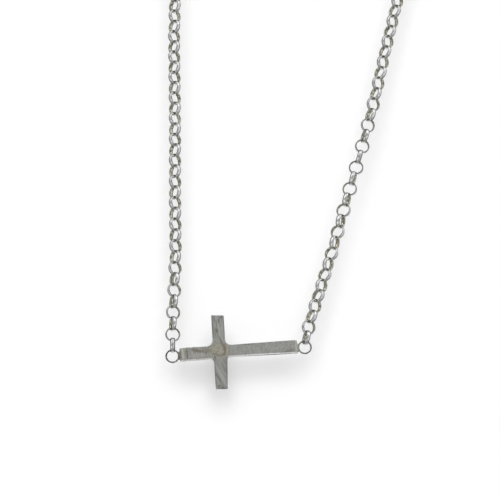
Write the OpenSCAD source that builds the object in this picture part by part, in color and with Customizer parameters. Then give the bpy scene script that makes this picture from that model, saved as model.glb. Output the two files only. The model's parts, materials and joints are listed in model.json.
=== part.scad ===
// Sideways cross necklace: a flat cross between the two ends of a fine belcher
// chain of round band links, closed at the back of the neck by a spring ring.
// The necklace hangs in the XZ plane, seen from the front (from -Y).
// The origin is the top of the loop, where the necklace hangs.

/* [Cross] */
// Length of the left arm from the crossing
left_arm_l = 9.95; // [8:0.05:12]
// Length of the right arm from the crossing
right_arm_l = 19.5; // [16:0.1:23]
// Length of the upper arm from the crossing
upper_arm_l = 9.6; // [8:0.1:12]
// Length of the lower arm from the crossing
lower_arm_l = 9.25; // [8:0.05:12]
// Width of the bar at its two ends
bar_w = 3.1; // [2.6:0.1:3.6]
// Width of the two short arms
short_arm_w = 3; // [2.5:0.1:3.3]
// Thickness of the cross
cross_t = 1.9; // [1.4:0.1:2.4]
// How far the cross rises towards its right end, in degrees
cross_tilt = 4; // [0:0.5:8]

/* [End loops] */
// Outside diameter of the loops soldered to the ends of the bar
loop_d = 3.57; // [3.5:0.01:3.8]
// Wire diameter of these loops
loop_wire_d = 0.4; // [0.3:0.05:0.45]

/* [Chain links] */
// Outside diameter of a chain link
link_d = 3.74; // [3.74:0.01:3.84]
// Width of the band that a link is made of
band_w = 1.15; // [0.9:0.05:1.15]
// Thickness of the band at its middle
band_t = 0.24; // [0.18:0.01:0.24]
// Thickness of the band at its edges
band_edge_t = 0.06; // [0.04:0.01:0.06]
// Distance between neighbouring links in the lower part of the left strand
left_pitch = 2.875; // [2.8:0.005:2.945]
// Distance between neighbouring links in the lower part of the right strand
right_pitch = 2.945; // [2.8:0.005:2.945]
// Distance between neighbouring links in the upper part of both strands
upper_pitch = 2.88; // [2.8:0.005:2.9]
// Number of links in the lower part of each strand
lower_links = 34; // [26:1:40]
// Number of links on the left of the clasp
left_links = 71; // [63:2:75]
// Number of links on the right of the clasp
right_links = 69; // [61:2:73]

/* [Clasp] */
// Outside diameter of the spring ring
clasp_d = 5.9; // [5.5:0.1:6.5]
// Wire diameter of the spring ring
clasp_wire_d = 1.1; // [0.9:0.1:1.2]
// Outside diameter of the spring ring's eye and of the jump ring
ring_d = 3.2; // [3.1:0.1:3.5]
// Wire diameter of the eye and of the jump ring
ring_wire_d = 0.5; // [0.4:0.05:0.5]

/* [Hidden] */
$fn = 48;

// Clearance between interlocked rings
play = 0.12;
// Straight distance between a ring's inner face and its chord across the band
function chord_drop(r) = sqrt(r * r - band_w * band_w / 4);
link_mid_r = (link_d - band_t) / 2;
link_edge_r = link_mid_r - band_edge_t / 2;
loop_mid_r = (loop_d - loop_wire_d) / 2;
ring_mid_r = (ring_d - ring_wire_d) / 2;
clasp_mid_r = (clasp_d - clasp_wire_d) / 2;
// From an end loop to its first link, and from a last link to the ring that it holds
first_link = chord_drop(loop_mid_r - loop_wire_d / 2) + link_edge_r - play;
last_link = chord_drop(ring_mid_r - ring_wire_d / 2) + link_edge_r - 2 * play;
// From the spring ring to its eye, and to the jump ring
clasp_to_eye = clasp_mid_r + ring_mid_r;
clasp_to_ring = clasp_d / 2 - clasp_wire_d + ring_d / 2 - ring_wire_d - play;
clasp_span = last_link + clasp_to_eye + clasp_to_ring + last_link;

// Corners of the cross in its own plane, from the left end clockwise:
// [x, z, rounding radius]
half_bar = bar_w / 2;
half_arm = short_arm_w / 2;
cross_corners = [
    [-left_arm_l, -half_bar + 0.13, 0.2],
    [-left_arm_l, half_bar + 0.17, 0.4],
    [-half_arm - 0.08, half_bar + 0.07, 1.6],
    [-half_arm + 0.02, upper_arm_l + 0.06, 0.15],
    [half_arm + 0.18, upper_arm_l - 0.18, 0.3],
    [half_arm + 0.08, half_bar + 0.09, 1.5],
    [right_arm_l, half_bar + 0.21, 0.25],
    [right_arm_l, -half_bar + 0.22, 0.25],
    [half_arm + 0.43, -half_bar + 0.45, 0.5],
    [half_arm - 0.08, -lower_arm_l - 0.03, 0.3],
    [-half_arm - 0.06, -lower_arm_l + 0.12, 0.15],
    [-half_arm - 0.03, -half_bar + 0.17, 0.8],
];
// The two end loops: how far their wire stands off the bar's ends, how far their
// centres are from these ends, and how high these are beside the crossing
loop_gap = 0.06;
loop_out = loop_d / 2 + loop_gap;
loop_z = -0.08;

// Course of each strand above its end loop, seen from the front: [height, sideways]
left_course = [[0, 0], [11, 0.03], [17, 0.28], [28, 0.53], [40, 0.29], [58, 0.11],
               [68, -0.03], [85, -0.38], [94, -0.28]];
right_course = [[0, 0], [4, 0.68], [7, 1.45], [10, 2.4], [25, 7.04], [32, 8.97],
                [38, 10.6], [51.5, 14.55], [62, 17.32], [69, 19.03], [80, 21.45],
                [91.5, 24.2]];
// Lean of each strand beyond its course, up to the arc over the top
left_lean = 0;
right_lean = 13.4;

// How far each strand's links are turned about the strand: [link, degrees]
left_turns = [[1, 0], [2, 8], [3, 18], [8, 36], [10, 44], [40, 45], [left_links, 0]];
right_turns = [[1, 15], [2, 32], [4, 41], [6, 49], [8, 55], [10, 60], [12, 65], [15, 80],
               [18, 91], [19, 100], [21, 112], [23, 124], [26, 134], [40, 135],
               [right_links, 90]];
// How much further each even link is turned, and each odd one less: [link, degrees]
left_zigzag = [[1, 0], [3, 4], [32, 4], [left_links, 0]];
right_zigzag = [[1, 0], [3, 4], [10, 4], [15, 0], [21, 0], [25, -3], [34, -4],
                [right_links, 0]];

// How far links sit from an even spacing, where the chain is slack or taut: [link, mm]
left_slips = [[1, 0], [2, -0.12], [5, -0.08], [9, 0.13], [13, 0.25], [20, 0.17],
              [25, 0.1], [30, -0.05], [36, 0.1], [left_links, 0.1]];
right_slips = [[1, -0.3], [2, -0.5], [4, -0.6], [6, -0.88], [8, -0.85], [11, -0.73],
               [16, -0.45], [18, -0.25], [20, -0.2], [28, 0.15], [34, 0.1],
               [right_links, 0.1]];

// Where the two end loops are, from the crossing, as [x, z]
function tilted(p) = [p[0] * cos(cross_tilt) - p[1] * sin(cross_tilt),
                      p[0] * sin(cross_tilt) + p[1] * cos(cross_tilt)];
left_loop = tilted([-left_arm_l - loop_out, loop_z]);
right_loop = tilted([right_arm_l + loop_out, loop_z]);

// Lengths along the courses, up to each row
function course_l(c, i) = i == 0 ? 0 : course_l(c, i - 1) + norm(c[i] - c[i - 1]);
function last(v) = v[len(v) - 1];
function course_end(loop, c) = [loop[0] + last(c)[1], loop[1] + last(c)[0]];
left_end = course_end(left_loop, left_course);
right_end = course_end(right_loop, right_course);
left_course_l = course_l(left_course, len(left_course) - 1);
right_course_l = course_l(right_course, len(right_course) - 1);

// The arc over the top touches both straight runs. The runs and the arc are
// straight-line functions of its radius r, so the radius follows from the length.
arc_turn = 180 + right_lean - left_lean;
function link_at(n, pitch, slips) = first_link + (min(n, lower_links) - 1) * pitch
                                  + max(0, n - lower_links) * upper_pitch
                                  + lookup(n, slips);
function left_link_at(n) = link_at(n, left_pitch, left_slips);
function right_link_at(n) = link_at(n, right_pitch, right_slips);
strand_l = left_link_at(left_links) + clasp_span + right_link_at(right_links);
function right_run(r) = (left_end[0] + r + r * cos(right_lean) - right_end[0])
                      / sin(right_lean);
function left_run(r) = right_end[1] + right_run(r) * cos(right_lean)
                     + r * sin(right_lean) - left_end[1];
function route_l(r) = left_course_l + left_run(r) + r * arc_turn * PI / 180
                    + right_run(r) + right_course_l;
arc_r = (strand_l - route_l(0)) / (route_l(1) - route_l(0));
arc_centre = [left_end[0] + arc_r, left_end[1] + left_run(arc_r)];
// Top of the loop, from the crossing
top = arc_centre + [0, arc_r];
// Length of the whole necklace, cross included
necklace_l = strand_l + norm(right_loop - left_loop);
echo(necklace_l = necklace_l);

// A place on a strand at a length s from its end loop, as [x, z, lean];
// side is 1 for the left strand and -1 for the right one
function on_course(loop, c, s, i = 1) =
    s <= course_l(c, i) || i == len(c) - 1
    ? let (step = c[i] - c[i - 1],
           t = s - course_l(c, i - 1),
           p = c[i - 1] + step * t / norm(step))
      [loop[0] + p[1], loop[1] + p[0], atan2(step[1], step[0])]
    : on_course(loop, c, s, i + 1);
function on_run(end, lean, t) = [end[0] + t * sin(lean), end[1] + t * cos(lean), lean];
function on_arc(side, lean, t) =
    let (a = lean + side * t * 180 / PI / arc_r)
    [arc_centre[0] - side * arc_r * cos(a), arc_centre[1] + side * arc_r * sin(a), a];
function on_strand(side, loop, c, end, lean, l, run, s) =
    s < l ? on_course(loop, c, s)
    : s < l + run ? on_run(end, lean, s - l)
    : on_arc(side, lean, s - l - run);
function on_left(s) = on_strand(1, left_loop, left_course, left_end, left_lean,
                                left_course_l, left_run(arc_r), s);
function on_right(s) = on_strand(-1, right_loop, right_course, right_end, right_lean,
                                 right_course_l, right_run(arc_r), s);

// Length along the left strand to the middle of the clasp
clasp_at = left_link_at(left_links) + last_link + (clasp_to_eye + clasp_to_ring) / 2;

// A polygon with its corners rounded by arcs, from rows of [x, z, radius]
function corner(a, b, c) =
    let (u = (a - b) / norm(a - b), v = (c - b) / norm(c - b),
         half = acos(u * v) / 2)
    [u, v, half];
function arc_points(p, q, r) =
    let (b = [q[1][0], q[1][1]],
         k = corner([q[0][0], q[0][1]], b, [q[2][0], q[2][1]]),
         mid = (k[0] + k[1]) / norm(k[0] + k[1]),
         centre = b + mid * r / sin(k[2]),
         from = b + k[0] * r / tan(k[2]) - centre,
         to = b + k[1] * r / tan(k[2]) - centre,
         a0 = atan2(from[1], from[0]),
         turn = atan2(to[1], to[0]) - a0,
         swing = turn > 180 ? turn - 360 : turn < -180 ? turn + 360 : turn)
    [for (i = [0 : p]) centre + r * [cos(a0 + swing * i / p), sin(a0 + swing * i / p)]];
function rounded(rows, steps = 6) =
    let (n = len(rows))
    [for (i = [0 : n - 1])
        each arc_points(steps, [rows[(i + n - 1) % n], rows[i], rows[(i + 1) % n]],
                        rows[i][2])];

// Everything is drawn about the crossing and lifted so that the top is the origin
module hung() {
    translate([-top[0], 0, -top[1]]) children();
}

// Puts its children at a place on a strand, with Z along the strand
module at(place) {
    translate([place[0], 0, place[1]]) rotate([0, place[2], 0]) children();
}

// A plain round wire ring that faces the front
module wire_ring(mid_r, wire_d) {
    rotate([90, 0, 0])
        rotate_extrude() translate([mid_r, 0]) circle(d = wire_d);
}

// The section of a link's band: flat in the middle, thinner towards its edges
module band_section() {
    middle = band_w / 5;
    edge = band_w / 2;
    polygon([
        [band_t / 2, -middle], [band_t / 2, middle],
        [band_edge_t / 2, edge], [-band_edge_t / 2, edge],
        [-band_t / 2, middle], [-band_t / 2, -middle],
        [-band_edge_t / 2, -edge], [band_edge_t / 2, -edge],
    ]);
}

// A chain link that faces the front
module link() {
    rotate([90, 0, 0])
        rotate_extrude() translate([link_mid_r, 0]) band_section();
}

// The flat body of the cross, with a shallow facet at each end of the bar
module cross_plate() {
    facet_l = 1.8;
    facet_drop = 0.35;
    bevel = 0.45;
    difference() {
        rotate([90, 0, 0])
            translate([0, 0, -cross_t / 2])
                linear_extrude(cross_t) polygon(rounded(cross_corners));
        translate([facet_l - left_arm_l, -cross_t / 2, 0])
            rotate([0, 0, 180 - atan(facet_drop / facet_l)])
                translate([0, 0, -bar_w])
                    cube([2 * facet_l, facet_l, 2 * bar_w]);
        translate([right_arm_l - bevel, -cross_t / 2, -bar_w])
            rotate([0, 0, -45])
                cube([bevel, 2 * bevel, 2 * bar_w]);
    }
}

// A loop with the solder that holds it to the end of the bar
module end_loop() {
    overlap = 0.3;
    solder = [loop_wire_d / 4 + loop_wire_d / 2 + loop_gap + overlap, 0.7, 0.9];
    wire_ring(loop_mid_r, loop_wire_d);
    translate([loop_mid_r - loop_wire_d / 4, -solder[1] / 2, -solder[2] / 2])
        cube(solder);
}

module cross() {
    color("silver") hung() rotate([0, -cross_tilt, 0]) {
        cross_plate();
        translate([-left_arm_l - loop_out, 0, loop_z]) end_loop();
        translate([right_arm_l + loop_out, 0, loop_z]) rotate([0, 180, 0]) end_loop();
    }
}

// A strand's nth link in its own turn: each second link stands across the others
module turned_link(n, turns, zigzag) {
    odd = n % 2;
    rotate([0, 0, lookup(n, turns) + (1 - 2 * odd) * lookup(n, zigzag) - 90 * odd]) link();
}

module chain_left() {
    color("gainsboro") hung()
        for (n = [1 : left_links])
            at(on_left(left_link_at(n))) turned_link(n, left_turns, left_zigzag);
}

module chain_right() {
    color("gainsboro") hung()
        for (n = [1 : right_links])
            at(on_right(right_link_at(n))) turned_link(n, right_turns, right_zigzag);
}

// The spring ring with its eye and thumb stud, in one piece
module clasp() {
    stud_d = 0.8;
    stud_l = 1.2;
    color("lightgray") hung() at(on_left(clasp_at))
        translate([0, 0, (clasp_to_eye - clasp_to_ring) / 2]) {
            wire_ring(clasp_mid_r, clasp_wire_d);
            translate([0, 0, -clasp_to_eye]) wire_ring(ring_mid_r, ring_wire_d);
            rotate([0, 50, 0]) translate([0, 0, clasp_mid_r])
                cylinder(d = stud_d, h = stud_l);
        }
}

module clasp_ring() {
    color("lightgray") hung() at(on_left(clasp_at))
        translate([0, 0, (clasp_to_eye + clasp_to_ring) / 2])
            rotate([0, 0, 90]) wire_ring(ring_mid_r, ring_wire_d);
}

cross();
chain_left();
chain_right();
clasp();
clasp_ring();
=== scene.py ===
import json
import math

import bmesh
import bpy
import numpy as np
from mathutils import Matrix, Vector


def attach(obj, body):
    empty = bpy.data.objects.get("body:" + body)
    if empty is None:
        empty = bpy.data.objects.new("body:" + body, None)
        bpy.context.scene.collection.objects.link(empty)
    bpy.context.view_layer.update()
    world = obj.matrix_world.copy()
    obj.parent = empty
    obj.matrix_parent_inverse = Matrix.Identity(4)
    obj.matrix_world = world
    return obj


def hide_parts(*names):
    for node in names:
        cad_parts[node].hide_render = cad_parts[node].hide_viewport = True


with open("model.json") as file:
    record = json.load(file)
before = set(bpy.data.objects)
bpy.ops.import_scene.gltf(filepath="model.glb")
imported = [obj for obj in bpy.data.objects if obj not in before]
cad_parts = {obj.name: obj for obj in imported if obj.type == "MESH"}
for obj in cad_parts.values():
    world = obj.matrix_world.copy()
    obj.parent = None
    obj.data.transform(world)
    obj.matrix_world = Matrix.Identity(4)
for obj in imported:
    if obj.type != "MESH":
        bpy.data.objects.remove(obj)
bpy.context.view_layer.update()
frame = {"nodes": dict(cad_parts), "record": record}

MM = 0.001

# The cross, in its own plane: x along the bar, z across it, from the crossing
CROSS_TILT = math.radians(4)
CROSS_THICK = 1.9 * MM
HALF_BAR = 1.55 * MM
LEFT_ARM = 9.95 * MM
RIGHT_ARM = 19.5 * MM
UPPER_ARM = 9.6 * MM
LOWER_ARM = 9.25 * MM
HALF_ARM = 1.5 * MM
LOOP_MID_R = 1.585 * MM
LOOP_WIRE_R = 0.2 * MM
LOOP_GAP = 0.06 * MM
LOOP_DROP = 0.08 * MM

# How far the loops' centres are from the bar's ends
LOOP_OUT = LOOP_MID_R + LOOP_WIRE_R + LOOP_GAP

# The facet at the bar's left end, its length and how far it falls back, in mm
LEFT_FACET = (1.8, 0.35)
RIGHT_BEVEL = 0.45 * MM
EDGE_SOFTENING = 0.14 * MM
# Edges that turn by more than this, in radians, are softened
SHARP_ANGLE = 0.6
# A face narrower than this belongs to a softened edge
EDGE_FACE_WIDTH = 0.33 * MM
SOLDER_HALF_SIZES = (0.42 * MM, 0.42 * MM, 1.1 * MM)
SOLDER_FROM_LOOP = 0.16 * MM

# A link's band, and the share of its width that is flat
LINK_MID_R = 1.7 * MM
BAND_WIDTH = 1.15 * MM
BAND_THICK = 0.34 * MM
BAND_FLAT = 0.4
LINK_STEPS = 20
WIRE_SIDES = 14

# The spring ring, its eye and the jump ring
CLASP_MID_R = 2.4 * MM
CLASP_WIRE_R = 0.55 * MM
RING_MID_R = 1.35 * MM
RING_WIRE_R = 0.25 * MM
CLASP_BODY_R = CLASP_WIRE_R - 0.06 * MM
BOLT_R = 0.36 * MM
GATE_START = math.radians(20)
GATE_SWEEP = math.radians(62)
COLLAR_SWEEP = math.radians(9)
KNOB_ANGLE = math.radians(50)
# The knob's outline from the bolt outwards, as (radius, distance from the centre) in mm
KNOB_OUTLINE = (
    (0.24, 2.4), (0.24, 2.95), (0.38, 3.0), (0.4, 3.12), (0.4, 3.4), (0.3, 3.56), (0, 3.6),
)


def corners_of_cross():
    """The outline's corners from the left end clockwise, as (x, z, rounding radius) in mm."""
    bar, arm = HALF_BAR / MM, HALF_ARM / MM
    arms = (LEFT_ARM, RIGHT_ARM, UPPER_ARM, LOWER_ARM)
    left, right, upper, lower = (length / MM for length in arms)
    return [
        (-left, -bar + 0.13, 0.2),
        (-left, bar + 0.17, 0.4),
        (-arm - 0.08, bar + 0.07, 1.6),
        (-arm + 0.02, upper + 0.06, 0.15),
        (arm + 0.18, upper - 0.18, 0.3),
        (arm + 0.08, bar + 0.09, 1.5),
        (right, bar + 0.21, 0.25),
        (right, -bar + 0.22, 0.25),
        (arm + 0.43, -bar + 0.45, 0.5),
        (arm - 0.08, -lower - 0.03, 0.3),
        (-arm - 0.06, -lower + 0.12, 0.15),
        (-arm - 0.03, -bar + 0.17, 0.8),
    ]


# Shapes

def in_fixed_order(bm):
    """Sorts the elements by place, as some operators leave them in another order each run."""
    places = (
        (bm.verts, lambda vert: vert.co[:]),
        (bm.edges, lambda edge: (edge.verts[0].co + edge.verts[1].co)[:]),
        (bm.faces, lambda face: face.calc_center_bounds()[:]),
    )
    for elements, place in places:
        for rank, element in enumerate(sorted(elements, key=place)):
            element.index = rank
        elements.sort()


def finish_piece(bm, name, body, stands_for, material):
    """Makes a bmesh an object that rides on a body in place of CAD nodes."""
    bmesh.ops.recalc_face_normals(bm, faces=bm.faces)
    in_fixed_order(bm)
    mesh = bpy.data.meshes.new(name)
    bm.to_mesh(mesh)
    bm.free()
    piece = bpy.data.objects.new(name, mesh)
    bpy.context.scene.collection.objects.link(piece)
    mesh.materials.append(material)
    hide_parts(stands_for)
    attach(piece, body)


def spun_ring(bm, section, place, steps):
    """Spins a closed section, as (radius, height) pairs, about the place's Y axis."""
    verts = [bm.verts.new((r, h, 0)) for r, h in section]
    edges = [bm.edges.new((a, b)) for a, b in zip(verts, verts[1:] + verts[:1])]
    before = set(bm.faces)
    bmesh.ops.spin(
        bm, geom=verts + edges, cent=(0, 0, 0), axis=(0, 1, 0),
        angle=math.tau, steps=steps, use_merge=True,
    )
    made = [f for f in bm.faces if f not in before]
    for face in made:
        face.smooth = True
    rim = list({v for f in made for v in f.verts})
    bmesh.ops.transform(bm, matrix=place, verts=rim)
    return rim


def wire_section(mid_r, wire_r):
    """A round wire's section, as (radius, height) pairs."""
    turns = [math.tau * i / WIRE_SIDES for i in range(WIRE_SIDES)]
    return [(mid_r + wire_r * math.cos(a), wire_r * math.sin(a)) for a in turns]


def band_section():
    """The section of a link's band, which narrows to its edges, as (radius, height) pairs."""
    flat, edge, half = BAND_FLAT * BAND_WIDTH / 2, BAND_WIDTH / 2, BAND_THICK / 2
    rows = [
        (half, -flat), (half, flat), (0, edge),
        (-half, flat), (-half, -flat), (0, -edge),
    ]
    return [(LINK_MID_R + r, h) for r, h in rows]


def ring_steps(steps):
    return steps


# Where the frame's rings are

def loose_rings(cad_node):
    """The centre and axis of each loose ring in a CAD node, in order along the strand."""
    bm = bmesh.new()
    bm.from_mesh(frame["nodes"][cad_node].data)
    bmesh.ops.remove_doubles(bm, verts=bm.verts, dist=1e-7)
    unseen = set(bm.verts)
    rings = []
    while unseen:
        front = [unseen.pop()]
        points = []
        while front:
            vert = front.pop()
            points.append(vert.co[:])
            for edge in vert.link_edges:
                other = edge.other_vert(vert)
                if other in unseen:
                    unseen.remove(other)
                    front.append(other)
        # sorted, so that every run adds them up alike
        cloud = np.array(sorted(points))
        centre = (cloud.min(axis=0) + cloud.max(axis=0)) / 2
        spread = np.linalg.svd(cloud - cloud.mean(axis=0), full_matrices=False)[2]
        rings.append((Vector(centre), Vector(spread[2])))
    bm.free()
    return in_order(rings)


def in_order(rings):
    """The rings from the lowest one up the strand, each beside the last."""
    rest = sorted(rings, key=lambda ring: ring[0].z)
    walk = [rest.pop(0)]
    while rest:
        nearest = min(rest, key=lambda ring: (ring[0] - walk[-1][0]).length)
        rest.remove(nearest)
        walk.append(nearest)
    return walk


def strand_directions(rings):
    """The strand's direction at each ring."""
    centres = [centre for centre, _ in rings]
    ahead = centres[1:] + [2 * centres[-1] - centres[-2]]
    behind = [2 * centres[0] - centres[1]] + centres[:-1]
    return [(a - b).normalized() for a, b in zip(ahead, behind)]


# Pieces

def make_chain(cad_node, material):
    """A strand of band links, each where the frame's link is."""
    rings = loose_rings(cad_node)
    section = band_section()
    bm = bmesh.new()
    # per-vertex values that place the painted shade inside each link, the painted dark rim
    # outlines and the painted shade where links touch, and a random tone
    inner = bm.verts.layers.float.new("inner_face")
    rim = bm.verts.layers.float.new("rim")
    touch = bm.verts.layers.float.new("touch")
    tone = bm.verts.layers.float.new("tone")
    for count, ((centre, axis), along) in enumerate(zip(rings, strand_directions(rings))):
        along = (along - axis * along.dot(axis)).normalized()
        side = along.cross(axis)
        place = Matrix((side, axis, along)).transposed().to_4x4()
        place.translation = centre
        verts = spun_ring(bm, section, place, LINK_STEPS)
        # a rim that faces forwards gets a wider painted dark outline
        outline = 2 + 0.6 * axis.y ** 4
        for vert in verts:
            out = vert.co - centre
            radial = out - axis * out.dot(axis)
            vert[rim] = abs(out.dot(axis)) / BAND_WIDTH * outline
            vert[inner] = min(1, max(0, 0.5 - (radial.length - LINK_MID_R) / BAND_THICK))
            vert[touch] = abs(radial.normalized().dot(along))
            vert[tone] = 0.5 + 0.5 * math.sin(count * 2.4 + centre.x * 900)
    name = cad_node.replace("chain", "links")
    finish_piece(bm, name, "necklace", cad_node, material)


def cross_place():
    """The matrix from the cross's own plane to the frame, by the loop that the joint is in."""
    joint, = frame["record"]["behaviour"]["joints"]
    left_loop = Vector(joint["pos_m"]) - Vector((0, 0, LOOP_MID_R))
    turn = Matrix.Rotation(-CROSS_TILT, 4, "Y")
    from_crossing = turn @ Vector((-LEFT_ARM - LOOP_OUT, 0, -LOOP_DROP))
    return Matrix.Translation(left_loop - from_crossing) @ turn


def cut_away(bm, point, outward):
    """Cuts off what lies beyond a plane and closes the cut."""
    # in order first, so that the closing face starts at the same corner each run
    in_fixed_order(bm)
    cut = bmesh.ops.bisect_plane(
        bm, geom=bm.verts[:] + bm.edges[:] + bm.faces[:], dist=1e-8,
        plane_co=point, plane_no=outward, clear_outer=True,
    )
    rim = [e for e in cut["geom_cut"] if isinstance(e, bmesh.types.BMEdge)]
    bmesh.ops.contextual_create(bm, geom=rim)


def cross_plate(bm):
    """The flat cross: its outline rounded, given its thickness, faceted and softened."""
    rows = corners_of_cross()
    verts = [bm.verts.new((x * MM, -CROSS_THICK / 2, z * MM)) for x, z, _ in rows]
    bm.faces.new(verts)
    for vert, (_, _, radius) in zip(verts, rows):
        a, b = (e.other_vert(vert).co - vert.co for e in vert.link_edges)
        reach = radius * MM / math.tan(a.angle(b) / 2)
        bmesh.ops.bevel(
            bm, geom=[vert], offset=reach, offset_type="OFFSET", affect="VERTICES",
            segments=8, profile=0.5, material=-1,
        )
    grown = bmesh.ops.extrude_face_region(bm, geom=bm.faces[:])
    moved = [v for v in grown["geom"] if isinstance(v, bmesh.types.BMVert)]
    bmesh.ops.translate(bm, vec=(0, CROSS_THICK, 0), verts=moved)
    bmesh.ops.recalc_face_normals(bm, faces=bm.faces)
    front = -CROSS_THICK / 2
    facet_length, facet_fall = LEFT_FACET
    cut_away(bm, (facet_length * MM - LEFT_ARM, front, 0), (-facet_fall, -facet_length, 0))
    cut_away(bm, (RIGHT_ARM - RIGHT_BEVEL, front, 0), (1, -1, 0))
    sharp = [e for e in bm.edges if e.is_manifold and e.calc_face_angle() > SHARP_ANGLE]
    bmesh.ops.bevel(
        bm, geom=sharp, offset=EDGE_SOFTENING, offset_type="OFFSET", affect="EDGES",
        segments=3, profile=0.5, material=-1, clamp_overlap=True,
    )


def make_cross(material):
    """The cross with the two loops soldered to the ends of its bar."""
    bm = bmesh.new()
    cross_plate(bm)
    for face in bm.faces:
        longest = max(e.calc_length() for e in face.edges)
        face.smooth = face.calc_area() / longest < EDGE_FACE_WIDTH
    section = wire_section(LOOP_MID_R, LOOP_WIRE_R)
    for end in (-LEFT_ARM - LOOP_OUT, RIGHT_ARM + LOOP_OUT):
        place = Matrix.Translation((end, 0, -LOOP_DROP))
        spun_ring(bm, section, place, ring_steps(64))
        solder(bm, end)
    bmesh.ops.transform(bm, matrix=cross_place(), verts=bm.verts)
    finish_piece(bm, "cross_body", "cross", "cross", material)


def solder(bm, loop_x):
    """A run of solder between the bar's end and the loop at loop_x."""
    inwards = 1 if loop_x < 0 else -1
    made = bmesh.ops.create_icosphere(bm, subdivisions=3, radius=1)
    shape = Matrix.Diagonal((*SOLDER_HALF_SIZES, 1))
    seat = loop_x + inwards * (LOOP_MID_R + SOLDER_FROM_LOOP)
    place = Matrix.Translation((seat, 0, -LOOP_DROP)) @ shape
    bmesh.ops.transform(bm, matrix=place, verts=made["verts"])
    for face in {f for v in made["verts"] for f in v.link_faces}:
        face.smooth = True


def bent_rod(bm, rod_r, start, sweep, place):
    """A round rod with flat ends, bent along the clasp's ring from the start angle."""
    made = bmesh.ops.create_circle(bm, cap_ends=True, segments=16, radius=rod_r)
    rod = made["verts"]
    bmesh.ops.translate(bm, vec=(CLASP_MID_R, 0, 0), verts=rod)
    bmesh.ops.rotate(bm, cent=(0, 0, 0), matrix=Matrix.Rotation(start, 3, "Y"), verts=rod)
    faces = list({f for v in rod for f in v.link_faces})
    edges = list({e for v in rod for e in v.link_edges})
    before = set(bm.verts) - set(rod)
    bmesh.ops.spin(
        bm, geom=rod + edges + faces, cent=(0, 0, 0), axis=(0, 1, 0),
        angle=sweep, steps=ring_steps(2 + round(40 * sweep / math.pi)),
    )
    moved = [v for v in bm.verts if v not in before]
    for face in {f for v in moved for f in v.link_faces}:
        face.smooth = len(face.verts) == 4
    bmesh.ops.transform(bm, matrix=place, verts=moved)


def make_clasp(material):
    """The spring ring with its eye, collars, sliding bolt and thumb knob, and the jump ring."""
    (jump, jump_axis), = loose_rings("clasp_ring")
    clasp_points = [v.co for v in frame["nodes"]["clasp"].data.vertices]
    on_top = [point for point in clasp_points if point.y > 0.97 * CLASP_WIRE_R]
    cloud = np.array(on_top)
    centre = Vector((cloud.min(axis=0) + cloud.max(axis=0)) / 2)
    centre.y = 0
    along = (jump - centre).normalized()
    across = Vector((along.z, 0, -along.x))
    place = Matrix((along, (0, 1, 0), -across)).transposed().to_4x4()
    place.translation = centre

    bm = bmesh.new()
    gate_end, before_gate = GATE_START + GATE_SWEEP, GATE_START - COLLAR_SWEEP
    bent_rod(bm, CLASP_BODY_R, gate_end, math.tau - GATE_SWEEP, place)
    bent_rod(bm, BOLT_R, before_gate, GATE_SWEEP + 2 * COLLAR_SWEEP, place)
    for start in (before_gate, gate_end):
        bent_rod(bm, CLASP_WIRE_R, start, COLLAR_SWEEP, place)
    eye = centre - along * (CLASP_MID_R + RING_MID_R)
    ring_section = wire_section(RING_MID_R, RING_WIRE_R)
    spun_ring(bm, ring_section, Matrix.Translation(eye), ring_steps(56))
    knob(bm, Matrix.Translation(centre) @ knob_turn(along, across))
    finish_piece(bm, "spring_ring", "necklace", "clasp", material)

    bm = bmesh.new()
    place = jump_axis.to_track_quat("Y", "Z").to_matrix().to_4x4()
    place.translation = jump
    spun_ring(bm, ring_section, place, ring_steps(56))
    finish_piece(bm, "jump_ring", "necklace", "clasp_ring", material)


def knob_turn(along, across):
    """Turns Z to the side of the spring ring where its thumb knob stands."""
    out = along * math.cos(KNOB_ANGLE) + across * math.sin(KNOB_ANGLE)
    return out.to_track_quat("Z", "Y").to_matrix().to_4x4()


def knob(bm, place):
    """The thumb knob on the bolt, a stem with a rounded head."""
    verts = [bm.verts.new((r * MM, 0, h * MM)) for r, h in KNOB_OUTLINE]
    edges = [bm.edges.new(pair) for pair in zip(verts, verts[1:])]
    before = set(bm.verts) - set(verts)
    bmesh.ops.spin(
        bm, geom=verts + edges, cent=(0, 0, 0), axis=(0, 0, 1),
        angle=math.tau, steps=20, use_merge=True,
    )
    moved = [v for v in bm.verts if v not in before]
    bmesh.ops.remove_doubles(bm, verts=moved, dist=1e-7)
    moved = [v for v in bm.verts if v not in before]
    for face in {f for v in moved for f in v.link_faces}:
        face.smooth = True
    bmesh.ops.transform(bm, matrix=place, verts=moved)


# Finishes

def new_group(name, inputs, outputs):
    """An empty node group with named inputs, as (name, type, value), and outputs."""
    group = bpy.data.node_groups.new(name, "ShaderNodeTree")
    for label, kind, value in inputs:
        socket = group.interface.new_socket(label, in_out="INPUT", socket_type=kind)
        if value is not None:
            socket.default_value = value
    for label, kind in outputs:
        group.interface.new_socket(label, in_out="OUTPUT", socket_type=kind)
    group.nodes.new("NodeGroupInput")
    group.nodes.new("NodeGroupOutput")
    return group


def ends_of(group):
    """The group's own input and output nodes."""
    return group.nodes["Group Input"], group.nodes["Group Output"]


def node(tree, kind, settings=None, **inputs):
    """A node with its settings and input values; a socket as a value is linked."""
    made = tree.nodes.new("ShaderNode" + kind)
    for label, value in (settings or {}).items():
        setattr(made, label, value)
    for label, value in inputs.items():
        key = int(label[1:]) if label[1:].isdigit() else label.replace("_", " ")
        put(tree, made.inputs[key], value)
    return made


def put(tree, socket, value):
    """Links a socket to another, or gives it a value."""
    if isinstance(value, bpy.types.NodeSocket):
        tree.links.new(value, socket)
    else:
        socket.default_value = value


def use(tree, group, **inputs):
    """Places a node group in a tree."""
    placed = node(tree, "Group", {"node_tree": group})
    for label, value in inputs.items():
        put(tree, placed.inputs[label], value)
    return placed


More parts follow.
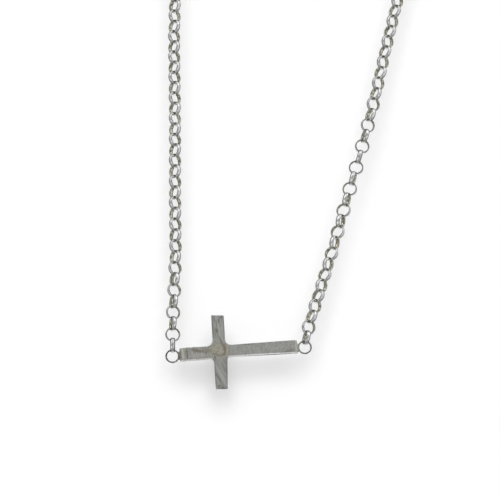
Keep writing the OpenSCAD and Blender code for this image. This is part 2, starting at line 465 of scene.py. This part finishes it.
def mixed(tree, share, low, high):
    """A colour mixed between two by a share."""
    blend = node(tree, "Mix", {"data_type": "RGBA"})
    put(tree, blend.inputs["Factor"], share)
    put(tree, blend.inputs[6], low)
    put(tree, blend.inputs[7], high)
    return blend.outputs[2]


def mixed_values(tree, share, low, high):
    """A value mixed between two by a share."""
    blend = node(tree, "Mix", {"data_type": "FLOAT"}, Factor=share, i2=low, i3=high)
    return blend.outputs[0]


def combined(tree, operation, a, b):
    """Two values put together by a Math node."""
    return node(tree, "Math", {"operation": operation}, i0=a, i1=b).outputs[0]


def smooth_step(tree, value, low, high, to_low=0.0, to_high=1.0):
    """A value eased from one level to another between low and high."""
    step = node(tree, "MapRange", {"interpolation_type": "SMOOTHSTEP"}, Value=value,
                From_Min=low, From_Max=high, To_Min=to_low, To_Max=to_high)
    return step.outputs[0]


def grain_group():
    """Brush marks: noise drawn out along one direction."""
    group = new_group(
        "brush_grain",
        [("Vector", "NodeSocketVector", None), ("Turn", "NodeSocketVector", None),
         ("Across", "NodeSocketFloat", 6000.0), ("Draw", "NodeSocketFloat", 0.06)],
        [("Grain", "NodeSocketFloat")],
    )
    start, end = ends_of(group)
    stretch = node(group, "CombineXYZ", None, X=1.0, Y=1.0, Z=start.outputs["Draw"])
    turned = node(group, "Mapping", None, Vector=start.outputs["Vector"],
                  Rotation=start.outputs["Turn"])
    drawn = node(group, "VectorMath", {"operation": "MULTIPLY"},
                 i0=turned.outputs[0], i1=stretch.outputs[0])
    noise = node(group, "TexNoise", None, Vector=drawn.outputs[0],
                 Scale=start.outputs["Across"], Detail=5.0, Roughness=0.6)
    put(group, end.inputs["Grain"], noise.outputs["Fac"])
    return group


def mark_group():
    """A soft-edged oval mark round a place, its edge broken up by a noise value."""
    group = new_group(
        "worn_mark",
        [("Vector", "NodeSocketVector", None), ("Centre", "NodeSocketVector", None),
         ("Turn", "NodeSocketVector", None), ("Size", "NodeSocketVector", (1.0, 1.0, 1.0)),
         ("Ragged", "NodeSocketFloat", 0.5), ("Strength", "NodeSocketFloat", 1.0)],
        [("Mask", "NodeSocketFloat")],
    )
    start, end = ends_of(group)
    placed = node(group, "Mapping", {"vector_type": "TEXTURE"}, Vector=start.outputs["Vector"],
                  Location=start.outputs["Centre"], Rotation=start.outputs["Turn"],
                  Scale=start.outputs["Size"])
    away = node(group, "VectorMath", {"operation": "LENGTH"}, i0=placed.outputs[0])
    frayed = node(group, "Math", {"operation": "MULTIPLY_ADD"}, i0=start.outputs["Ragged"],
                  i1=1.6, i2=away.outputs["Value"])
    mask = smooth_step(group, frayed.outputs[0], 1.1, 2.1, start.outputs["Strength"], 0.0)
    put(group, end.inputs["Mask"], mask)
    return group


def new_metal(name):
    """A metal material and its shader."""
    material = bpy.data.materials.new(name)
    material.use_nodes = True
    shader = material.node_tree.nodes["Principled BSDF"]
    shader.inputs["Metallic"].default_value = 1.0
    return material, material.node_tree, shader


# The cross's colours
DARK_STREAK = (0.41, 0.41, 0.385, 1)
PALE_STREAK = (0.76, 0.765, 0.73, 1)
FINE_MARK = (0.38, 0.38, 0.35, 1)
BROWN = (0.37, 0.315, 0.245, 1)
OLIVE = (0.43, 0.4, 0.31, 1)
DARK = (0.27, 0.27, 0.255, 1)
PALE = (0.78, 0.78, 0.72, 1)
BEIGE = (0.68, 0.66, 0.54, 1)
BRASSY = (0.80, 0.78, 0.62, 1)
GLINT = (0.93, 0.92, 0.84, 1)
# for the painted highlight under the bar
WHITE = (0.93, 0.95, 0.97, 1)
# near-black, for the painted shade under the bar, and to darken the lower arm's end and the
# loops
NEAR_BLACK = (0.03, 0.03, 0.035, 1)
# The links' and the clasp's colours
POLISH = (0.84, 0.85, 0.86, 1)
BRIGHT_POLISH = (0.95, 0.965, 0.97, 1)
WORN_POLISH = (0.66, 0.665, 0.66, 1)
# painted shade, with some grime, and pale painted reflections inside the links
DARK_INSIDE = (0.34, 0.33, 0.24, 1)
PALE_INSIDE = (0.8, 0.78, 0.64, 1)
# painted dark outline along the links' rims
RIM_OUTLINE = (0.28, 0.28, 0.27, 1)
# painted shade where links touch
CONTACT_SHADE = (0.03, 0.028, 0.02, 1)
DULL_CLASP = (0.58, 0.575, 0.53, 1)
BRIGHT_CLASP = (0.8, 0.8, 0.77, 1)

# The front face's depth, in mm
FRONT = -CROSS_THICK / 2 / MM

# Stains, pale and dark marks, painted highlights and painted dark edge lines on the cross, in
# mm in its own plane:
# centre, half sizes across and along, turn in degrees, colour, strength
MARKS = (
    # the bar's left arm
    ((-5.5, 0.63), (2.2, 0.42), -15, BROWN, 0.85),
    ((-3.2, 0.5), (1.5, 0.6), -4, BROWN, 0.5),
    ((-3.35, -0.05), (0.35, 0.35), 0, BROWN, 0.9),
    ((-5.6, -0.55), (2.6, 0.6), 4, PALE, 0.45),
    # the facet at the left end: a painted highlight strip, with painted dark lines at its edges
    ((-9.75, 0.3), (0.22, 1.5), 0, DARK, 0.8),
    ((-9.2, 0.1), (0.3, 1.6), 0, BRASSY, 0.8),
    ((-8.5, 0.2), (0.3, 1.2), 6, OLIVE, 0.6),
    ((-8.1, -0.1), (0.2, 1.9), 6, DARK, 0.95),
    # the crossing
    ((-0.3, 0.3), (2.5, 2.1), 0, OLIVE, 0.2),
    ((1.35, 0.6), (0.4, 1.4), 0, BROWN, 0.95),
    ((0.75, -0.75), (0.9, 0.4), 15, BROWN, 0.65),
    ((-0.75, -0.6), (1.0, 0.4), -25, BROWN, 0.6),
    ((-1.25, -1.3), (0.3, 0.8), 10, DARK, 0.7),
    ((1.95, -0.1), (0.3, 1.5), -5, BEIGE, 0.9),
    ((-0.9, 1.0), (0.6, 0.4), 20, BEIGE, 0.35),
    ((0.2, -0.1), (0.7, 0.45), 35, BRASSY, 0.35),
    ((0.8, 1.9), (0.32, 1.2), 25, BROWN, 0.8),
    # the upper arm
    ((0.3, 5.4), (0.34, 2.6), 6, PALE, 0.6),
    ((0.95, 3.2), (0.28, 1.1), 22, PALE, 0.5),
    ((0.35, 3.3), (0.22, 1.1), 22, DARK, 0.7),
    ((-0.4, 5.5), (0.22, 0.7), 0, DARK, 0.95),
    ((0.3, 8.0), (0.22, 0.6), 0, DARK, 0.85),
    ((0.8, 8.9), (0.4, 0.3), 0, DARK, 0.7),
    ((-0.75, 8.6), (0.22, 0.8), 0, DARK, 0.6),
    # painted dark lines along both edges of the arm
    ((-1.35, 6.5), (0.22, 3.4), 0, DARK, 0.8),
    ((1.5, 6.5), (0.2, 3.4), 0, DARK, 0.6),
    # the lower arm
    # a painted highlight strip down the arm
    ((-0.05, -6.1), (0.34, 2.9), 25, PALE, 0.6),
    ((-0.55, -6.9), (0.35, 2.2), 25, DARK, 0.6),
    ((0.75, -4.6), (0.3, 1.6), 20, DARK, 0.4),
    ((-0.5, -8.8), (0.6, 0.35), 0, DARK, 0.6),
    # painted dark lines along both edges of the arm
    ((-1.42, -5.8), (0.2, 3.6), 0, DARK, 0.6),
    ((1.45, -5.6), (0.24, 4.2), 0, DARK, 0.65),
    # the bar's right arm
    # painted dark lines along the bar's top edge
    ((7.4, 1.55), (1.9, 0.25), 0, DARK, 0.8),
    ((13.4, 1.72), (6.5, 0.22), 0, DARK, 0.5),
    ((12.6, -0.2), (0.5, 1.1), 20, BEIGE, 0.4),
    ((17.3, -0.95), (1.9, 0.4), 8, BROWN, 0.55),
    # a painted dark line along the bar's bottom edge
    ((16.2, -1.3), (1.6, 0.2), 0, DARK, 0.5),
    # a painted highlight along the bevelled right end
    ((19.5, 0.1), (0.3, 1.8), 0, GLINT, 0.95),
)
# Bright and dark places on the cross's sides and loops, among them a painted highlight and
# painted shade under the bar: centre, half sizes, colour, strength
SIDE_MARKS = (
    # the bar's underside, right of the crossing: a painted highlight strip at the front and
    # painted shade along the back edge
    ((12.0, -0.4, -1.4), (7.0, 0.6, 0.4), WHITE, 0.9),
    ((12.6, 0.62, -1.28), (6.8, 0.6, 0.45), NEAR_BLACK, 1.0),
    # the lower arm's end, painted near-black
    ((0.0, 0.1, -9.35), (2.4, 1.6, 0.35), NEAR_BLACK, 1.0),
    # the two loops, darkened
    ((-12.1, 0.0, -0.1), (2.3, 2.3, 2.3), NEAR_BLACK, 0.8),
    ((21.5, 0.0, -0.1), (2.3, 2.3, 2.3), NEAR_BLACK, 0.75),
)


def cross_space(tree, place):
    """Coordinates in the cross's own plane, in mm from the crossing."""
    own = node(tree, "TexCoord").outputs["Object"]
    turned = node(tree, "Mapping", {"vector_type": "TEXTURE"}, Vector=own,
                  Location=place.translation, Rotation=place.to_euler(),
                  Scale=(MM, MM, MM))
    return turned.outputs[0]


def satin_silver(grain, mark, place):
    """The cross's brushed face: streaks along each arm, with stains, pale and dark marks,
    painted highlights and painted dark edge lines.
    """
    material, tree, shader = new_metal("satin_silver")
    own = cross_space(tree, place)
    axes = node(tree, "SeparateXYZ", None, Vector=own)

    # brush marks: along the bar's left arm and the upper arm, slanted on the lower arm,
    # and mottled on the right arm
    fine = use(tree, grain, Vector=own, Across=7.0, Draw=0.12).outputs[0]
    streaks = use(tree, grain, Vector=own, Across=2.6, Draw=0.16).outputs[0]
    slanted = use(tree, grain, Vector=own, Across=1.9, Draw=0.1,
                  Turn=(0.0, math.radians(24), 0.0)).outputs[0]
    mottle = use(tree, grain, Vector=own, Across=2.4, Draw=0.6,
                 Turn=(0.0, math.radians(-30), 0.0)).outputs[0]
    mottle = mixed_values(tree, 0.4, mottle, 0.62)
    slanted = mixed_values(tree, 0.3, slanted, 0.5)
    lower = smooth_step(tree, axes.outputs["Z"], -2.2, -1.2, 1.0, 0.0)
    marks = mixed_values(tree, lower, streaks, slanted)
    right = smooth_step(tree, axes.outputs["X"], 2.0, 4.5)
    marks = mixed_values(tree, right, marks, mottle)
    light = smooth_step(tree, marks, 0.3, 0.7)
    colour = mixed(tree, light, DARK_STREAK, PALE_STREAK)
    colour = mixed(tree, smooth_step(tree, fine, 0.45, 0.7, 0.0, 0.5), colour, FINE_MARK)

    # the mottled stain round the crossing, and the single marks: stains, painted highlights and
    # painted dark edge lines
    edges = node(tree, "TexNoise", None, Vector=own, Scale=2.2, Detail=3.0).outputs["Fac"]
    specks = node(tree, "TexNoise", None, Vector=own, Scale=2.4, Detail=6.0, Roughness=0.75)
    stain = mixed(tree, smooth_step(tree, specks.outputs["Fac"], 0.37, 0.53), BROWN, BRASSY)
    spot = use(tree, mark, Vector=own, Centre=(-0.3, FRONT, 0.3), Size=(2.7, 1.2, 2.3),
               Ragged=edges, Strength=0.8)
    colour = mixed(tree, spot.outputs[0], colour, stain)
    for (mark_x, mark_z), (across, along), turn, tint, strength in MARKS:
        spot = use(tree, mark, Vector=own, Centre=(mark_x, FRONT, mark_z),
                   Turn=(0.0, math.radians(-turn), 0.0), Size=(across, 1.2, along),
                   Ragged=edges, Strength=strength)
        colour = mixed(tree, spot.outputs[0], colour, tint)
    # on the sides: a painted highlight and painted shade under the bar, and the lower end and
    # the loops darkened
    for centre, size, tint, strength in SIDE_MARKS:
        spot = use(tree, mark, Vector=own, Centre=centre, Size=size, Ragged=edges,
                   Strength=strength)
        colour = mixed(tree, spot.outputs[0], colour, tint)
    put(tree, shader.inputs["Base Color"], colour)

    rough = smooth_step(tree, marks, 0.3, 0.7, 0.46, 0.33)
    put(tree, shader.inputs["Roughness"], rough)
    height = combined(tree, "ADD", fine, marks)
    bump = node(tree, "Bump", None, Height=height, Strength=0.5, Distance=0.00003)
    put(tree, shader.inputs["Normal"], bump.outputs[0])
    return material


def polished_silver(grain):
    """The links' polish, with painted shade (and some grime) and pale painted reflections
    inside each link, painted dark outlines along the rims, and painted shade where links touch.
    """
    material, tree, shader = new_metal("polished_silver")
    own = node(tree, "TexCoord").outputs["Object"]
    scratch = use(tree, grain, Vector=own, Across=2600.0, Draw=0.6).outputs[0]
    inner = node(tree, "Attribute", {"attribute_name": "inner_face"}).outputs["Fac"]
    touch = node(tree, "Attribute", {"attribute_name": "touch"}).outputs["Fac"]
    tone = node(tree, "Attribute", {"attribute_name": "tone"}).outputs["Fac"]
    base = mixed(tree, tone, POLISH, BRIGHT_POLISH)
    worn = mixed(tree, smooth_step(tree, scratch, 0.4, 0.65), base, WORN_POLISH)
    # inside each link: painted shade, with some grime, broken by pale patches painted as
    # reflections
    patches = node(tree, "TexNoise", None, Vector=own, Scale=1400.0, Detail=2.0).outputs["Fac"]
    inside_shade_and_reflections = mixed(tree, smooth_step(tree, patches, 0.42, 0.6), DARK_INSIDE, PALE_INSIDE)
    inside = mixed(tree, inner, worn, inside_shade_and_reflections)
    # painted dark outlines along the band's rims
    rim = node(tree, "Attribute", {"attribute_name": "rim"}).outputs["Fac"]
    outline = smooth_step(tree, rim, 0.65, 1.0, 0.0, 0.75)
    outlined = mixed(tree, outline, inside, RIM_OUTLINE)
    # painted shade where links touch, strongest on their insides
    near = smooth_step(tree, touch, 0.92, 0.995)
    contact_shade = combined(tree, "MULTIPLY", near, smooth_step(tree, inner, 0.3, 0.8, 0.15, 0.97))
    colour = mixed(tree, contact_shade, outlined, CONTACT_SHADE)
    put(tree, shader.inputs["Base Color"], colour)
    put(tree, shader.inputs["Roughness"], smooth_step(tree, scratch, 0.35, 0.7, 0.13, 0.26))
    bump = node(tree, "Bump", None, Height=scratch, Strength=0.25, Distance=0.00003)
    put(tree, shader.inputs["Normal"], bump.outputs[0])
    return material


def plain_polish(grain):
    """The clasp's plain polish."""
    material, tree, shader = new_metal("clasp_silver")
    own = node(tree, "TexCoord").outputs["Object"]
    scratch = use(tree, grain, Vector=own, Across=4200.0, Draw=0.4)
    colour = mixed(tree, scratch.outputs[0], DULL_CLASP, BRIGHT_CLASP)
    put(tree, shader.inputs["Base Color"], colour)
    rough = node(tree, "MapRange", None, Value=scratch.outputs[0], To_Min=0.14, To_Max=0.26)
    put(tree, shader.inputs["Roughness"], rough.outputs[0])
    return material


# The studio

PHOTO_SIDE = 500
PHOTO_SCALE = 3.95 / MM
CAMERA_AWAY = 0.65
CAMERA_LOOKS_UP = math.radians(18)
# The middle of the photo, from the cross's crossing
MIDDLE_FROM_CROSSING = Vector((7.6 * MM, 0, 27.0 * MM))
WALL_BEHIND = 10 * MM
WALL_GLOW = 0.32
# Where the wall begins to fade and where it is gone, from the photo's middle
WALL_FADES = (90 * MM, 150 * MM)
WALL_COLOUR = (0.15, 0.15, 0.15, 1)
FLOOR_COLOUR = (0.8, 0.8, 0.8, 1)
LAMP_OFFSET = Vector((0, -1.0, 0.2))
# Each lamp's name, diameter and power
LAMPS = (("near_lamp", 0.8, 36), ("wide_lamp", 1.7, 20))
FLOOR_Z = -0.8
# Soft lights all round: towards, where each begins and is full, strength
GLOWS = (
    ((0, 0.95, -0.31), 0.85, 0.98, 0.75),
    ((1, -0.15, 0.3), 0.25, 0.98, 0.38),
    ((-1, -0.15, 0.3), 0.25, 0.98, 0.12),
    ((0, -0.2, 1), 0.35, 0.98, 0.26),
    ((-0.5, -0.5, 0.6), 0.8, 0.98, 0.5),
    ((0.55, -0.4, 0.75), 0.88, 0.99, 0.7),
    ((-0.6, -0.5, -0.6), 0.88, 0.99, 0.7),
    ((0.5, -0.6, -0.6), 0.9, 0.99, 0.5),
    ((0, 0.9, 0.45), 0.5, 0.95, -0.22),
)
# The room's glow where no light is
DIMMEST = 0.33


def make_camera(middle):
    """The camera, which looks up at the necklace from below as the photo does."""
    look = Vector((0, math.cos(CAMERA_LOOKS_UP), math.sin(CAMERA_LOOKS_UP)))
    data = bpy.data.cameras.new("camera")
    data.sensor_width = 36
    data.lens = 36 * PHOTO_SCALE * CAMERA_AWAY / PHOTO_SIDE
    data.clip_start = 0.01
    data.clip_end = 20
    camera = bpy.data.objects.new("camera", data)
    camera.location = middle - look * CAMERA_AWAY
    camera.rotation_euler = (math.pi / 2 + CAMERA_LOOKS_UP, 0, 0)
    bpy.context.scene.collection.objects.link(camera)
    bpy.context.scene.camera = camera


def stage_sheet(name, corners, colour):
    """A flat part of the studio, which metal doesn't mirror."""
    bm = bmesh.new()
    bm.faces.new([bm.verts.new(corner) for corner in corners])
    mesh = bpy.data.meshes.new(name)
    bm.to_mesh(mesh)
    bm.free()
    sheet = bpy.data.objects.new(name, mesh)
    sheet.visible_glossy = False
    bpy.context.scene.collection.objects.link(sheet)
    material = bpy.data.materials.new(name)
    material.use_nodes = True
    tree = material.node_tree
    shader = tree.nodes["Principled BSDF"]
    shader.inputs["Base Color"].default_value = colour
    shader.inputs["Roughness"].default_value = 0.9
    mesh.materials.append(material)
    return tree, shader


def make_stage(middle):
    """A pale floor, and a lit wall behind the necklace that fades out round the picture."""
    far, y = 1.0, WALL_BEHIND
    corners = ((-far, -far), (far, -far), (far, far), (-far, far))
    stage_sheet("floor", [(x, depth, FLOOR_Z) for x, depth in corners], FLOOR_COLOUR)
    corners = [(-far, y, FLOOR_Z), (far, y, FLOOR_Z), (far, y, far), (-far, y, far)]
    tree, shader = stage_sheet("wall", corners, WALL_COLOUR)
    shader.inputs["Emission Color"].default_value = (1, 1, 1, 1)
    shader.inputs["Emission Strength"].default_value = WALL_GLOW
    away = node(tree, "VectorMath", {"operation": "DISTANCE"}, i1=middle,
                i0=node(tree, "TexCoord").outputs["Object"])
    faded = smooth_step(tree, away.outputs["Value"], *WALL_FADES)
    back = node(tree, "NewGeometry").outputs["Backfacing"]
    clear = node(tree, "BsdfTransparent")
    seen = node(tree, "MixShader", None, Fac=combined(tree, "MAXIMUM", faded, back),
                i1=shader.outputs[0], i2=clear.outputs[0])
    put(tree, tree.nodes["Material Output"].inputs["Surface"], seen.outputs[0])


def make_world():
    """A white room whose reflections are dimmer on the camera's side."""
    world = bpy.data.worlds.new("studio")
    world.use_nodes = True
    tree = world.node_tree
    tree.nodes.clear()
    towards = node(tree, "TexCoord").outputs["Generated"]
    glow = DIMMEST
    for direction, begins, full, strength in GLOWS:
        facing = node(tree, "VectorMath", {"operation": "DOT_PRODUCT"}, i0=towards,
                      i1=Vector(direction).normalized())
        lit = smooth_step(tree, facing.outputs["Value"], begins, full, 0.0, strength)
        glow = combined(tree, "ADD", glow, lit)
    around = node(tree, "Background", None, Color=(1, 1, 1, 1), Strength=glow)
    behind = node(tree, "Background", None, Color=(1, 1, 1, 1), Strength=1.0)
    seen = node(tree, "LightPath").outputs["Is Camera Ray"]
    blend = node(tree, "MixShader", None, Fac=seen, i1=around.outputs[0], i2=behind.outputs[0])
    out = node(tree, "OutputWorld")
    put(tree, out.inputs["Surface"], blend.outputs[0])
    bpy.context.scene.world = world


def make_lamp(name, aim, size, power):
    """A soft round lamp in front, which lights the wall and isn't mirrored by metal."""
    data = bpy.data.lights.new(name, "AREA")
    data.shape = "DISK"
    data.size = size
    data.energy = power
    lamp = bpy.data.objects.new(name, data)
    lamp.location = aim + LAMP_OFFSET
    lamp.rotation_euler = LAMP_OFFSET.to_track_quat("Z", "Y").to_euler()
    lamp.visible_glossy = False
    bpy.context.scene.collection.objects.link(lamp)


def main():
    """Dresses the frame and lights it."""
    grain = grain_group()
    place = cross_place()
    make_cross(satin_silver(grain, mark_group(), place))
    links = polished_silver(grain)
    make_chain("chain_left", links)
    make_chain("chain_right", links)
    make_clasp(plain_polish(grain))
    middle = place.translation + MIDDLE_FROM_CROSSING
    make_camera(middle)
    make_stage(middle)
    make_world()
    for name, size, power in LAMPS:
        make_lamp(name, middle, size, power)
    bpy.context.scene.view_settings.view_transform = "Standard"


main()
